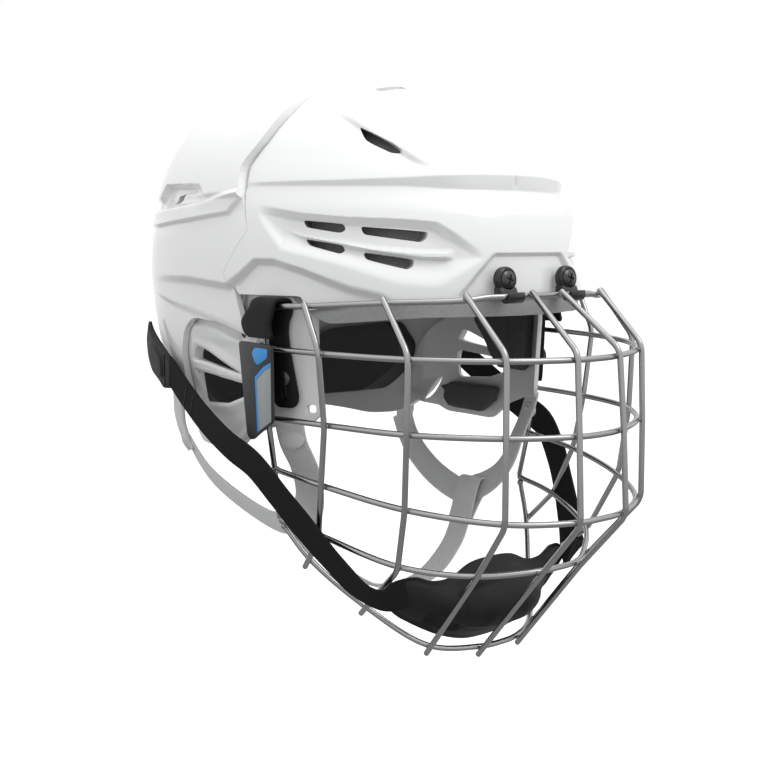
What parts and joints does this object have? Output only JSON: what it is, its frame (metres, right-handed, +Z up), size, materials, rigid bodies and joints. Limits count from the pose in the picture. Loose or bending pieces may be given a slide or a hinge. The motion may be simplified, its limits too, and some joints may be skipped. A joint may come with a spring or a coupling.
{
  "type": "hockey helmet with wire face cage",
  "caption": "Ice hockey helmet in two sliding shells with a hinged welded wire face cage, ear guards, chin cup, side loops and straps.",
  "frame": {"origin": "middle of the wearer's head between the temples, level with the cage's top bar, where the head holds the helmet", "axes": "+X the wearer's left, -Y the way the face looks, +Z up"},
  "size_m": [0.2154, 0.3245, 0.2992],
  "materials": {
    "shell": "gloss white moulded shell",
    "ear_guard_plastic": "satin white moulding",
    "foam_black": "soft black foam",
    "foam_grey": "grey foam liner",
    "wire": "satin bright wire",
    "clip_plastic": "black moulded nylon",
    "screw_steel": "dark plated steel",
    "loop_rubber": "black moulded rubber",
    "harness_webbing": "black woven webbing",
    "chin_webbing": "pale grey woven webbing",
    "keeper_plastic": "pale grey moulding",
    "cup_plastic": "black moulded cup",
    "label": "grey and charcoal plate with a plain blue patch"
  },
  "bodies": {
    "helmet": {"front_shell": "shell", "brow_liner": "foam_grey", "crown_liner": "foam_grey", "ear_guard_left": "ear_guard_plastic", "ear_guard_right": "ear_guard_plastic", "ear_pad_left": "foam_black", "ear_pad_right": "foam_black", "temple_pad_left": "foam_black", "temple_pad_right": "foam_black", "cage_clip_left": "clip_plastic", "cage_clip_right": "clip_plastic", "clip_screw_left": "screw_steel", "clip_screw_right": "screw_steel", "loop_base_left": "loop_rubber", "loop_base_right": "loop_rubber", "loop_screw_left": "screw_steel", "loop_screw_right": "screw_steel", "chin_strap_front_left": "chin_webbing", "chin_strap_front_right": "chin_webbing", "chin_strap_lower": "chin_webbing", "strap_keeper_left": "keeper_plastic", "strap_keeper_right": "keeper_plastic", "strap_snap_left": "keeper_plastic", "strap_snap_right": "keeper_plastic"},
    "rear": {"rear_shell": "shell", "rear_liner": "foam_grey", "occipital_pad": "foam_black", "chin_strap_rear_left": "chin_webbing", "chin_strap_rear_right": "chin_webbing"},
    "cage": {"cage_top_bar": "wire", "cage_bar_2": "wire", "cage_bar_3": "wire", "cage_bar_4": "wire", "cage_bar_5": "wire", "cage_chin_bar": "wire", "cage_upright_1_left": "wire", "cage_upright_1_right": "wire", "cage_upright_2_left": "wire", "cage_upright_2_right": "wire", "cage_upright_3_left": "wire", "cage_upright_3_right": "wire", "cage_upright_4_left": "wire", "cage_upright_4_right": "wire", "label_plate": "label", "harness_strap_left": "harness_webbing", "harness_strap_right": "harness_webbing", "harness_snap_left": "clip_plastic", "harness_snap_right": "clip_plastic"},
    "chin_cup": {"chin_cup": "cup_plastic", "chin_pad": "foam_black"},
    "left_flap": {"loop_flap_left": "loop_rubber"},
    "right_flap": {"loop_flap_right": "loop_rubber"}
  },
  "joints": [
    {"name": "size_slide", "type": "slide", "parent": "helmet", "child": "rear", "axis": [0, 1, 0], "range_m": [0, 0.008]},
    {"name": "cage_hinge", "type": "hinge", "parent": "helmet", "child": "cage", "pos_m": [0, -0.1096, 0], "axis": [-1, 0, 0], "range_deg": [0, 100]},
    {"name": "chin_cup_tilt", "type": "hinge", "parent": "cage", "child": "chin_cup", "pos_m": [0, -0.071, -0.143], "axis": [1, 0, 0], "range_deg": [-6, 8]},
    {"name": "left_flap_bend", "type": "hinge", "parent": "helmet", "child": "left_flap", "pos_m": [0.099, -0.02, -0.0014], "axis": [0, -1, 0], "range_deg": [0, 90]},
    {"name": "right_flap_bend", "type": "hinge", "parent": "helmet", "child": "right_flap", "pos_m": [-0.099, -0.02, -0.0014], "axis": [0, 1, 0], "range_deg": [0, 90]}
  ]
}
